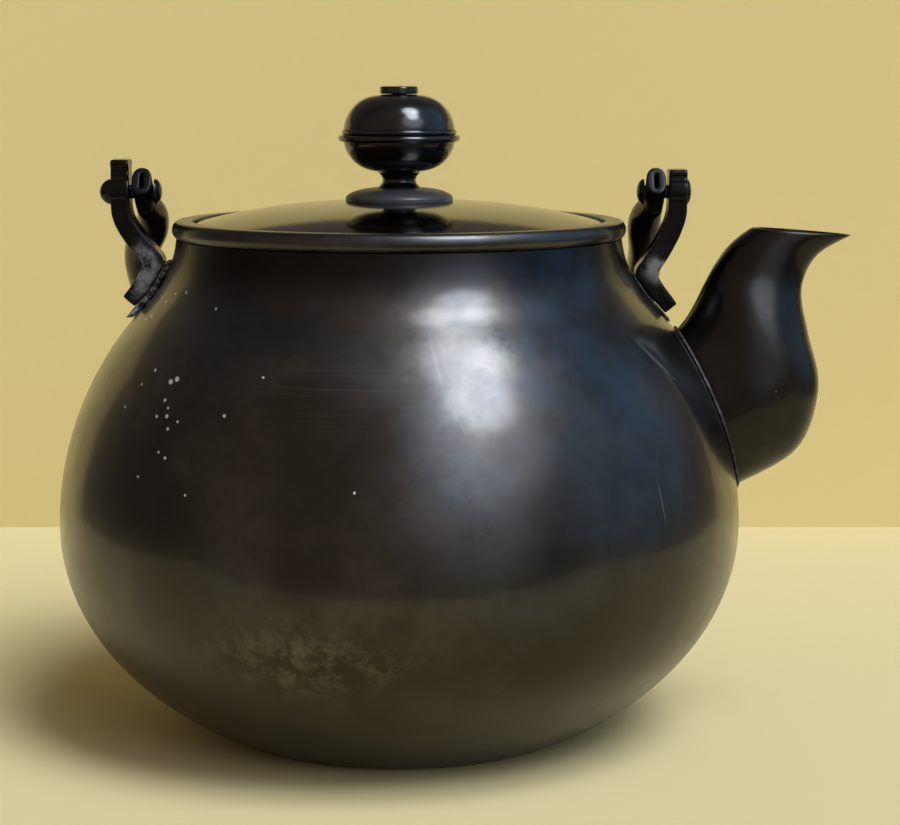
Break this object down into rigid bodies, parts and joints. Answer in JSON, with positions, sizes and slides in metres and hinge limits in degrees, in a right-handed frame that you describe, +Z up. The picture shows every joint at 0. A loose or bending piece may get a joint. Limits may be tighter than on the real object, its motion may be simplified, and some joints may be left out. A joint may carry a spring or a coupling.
{
  "type": "metal teapot",
  "caption": "Round-bellied dark metal teapot with a gooseneck spout, a drop-in lid with a turned knob, and a hollow bail handle on riveted ears that folds down behind.",
  "frame": {"origin": "centre of the flat base, on the surface the teapot stands on", "axes": "+Z up, +X towards the spout's lip, +Y away from the viewer, where the folded bail lies"},
  "size_m": [0.1919, 0.1731, 0.1556],
  "materials": {
    "patina": "dark brown-grey patina, rubbed to a soft shine",
    "rim": "near-black, polished bead",
    "lid": "dark patina, polished almost to a mirror",
    "black_iron": "black, smooth and glossy",
    "knob": "black, turned and glossy",
    "solder": "dull grey solder, mottled",
    "stud": "plain steel, dulled"
  },
  "bodies": {
    "kettle": {"body_upper": "patina", "body_lower": "patina", "base_plate": "patina", "mouth_ring": "rim", "spout": "patina", "spout_solder": "solder", "ear_left": "black_iron", "ear_right": "black_iron", "ear_solder_left": "solder", "ear_solder_right": "solder", "bail_pin_left": "black_iron", "bail_pin_right": "black_iron"},
    "bail": {"bail_handle": "black_iron", "bail_eye_left": "black_iron", "bail_eye_right": "black_iron"},
    "lid": {"lid_plate": "lid", "lid_flange": "lid", "knob_seat": "knob", "knob_stem": "knob", "knob_bowl": "knob", "knob_band": "knob", "knob_dome": "knob", "knob_button": "knob", "knob_stud": "stud", "stud_washer": "stud"}
  },
  "joints": [
    {"name": "bail_swing", "type": "hinge", "parent": "kettle", "child": "bail", "pos_m": [0, 0, 0.1305], "axis": [1, 0, 0], "range_deg": [0, 250.5]},
    {"name": "lid_lift", "type": "slide", "parent": "kettle", "child": "lid", "axis": [0, 0, 1], "range_m": [0, 0.06]}
  ]
}
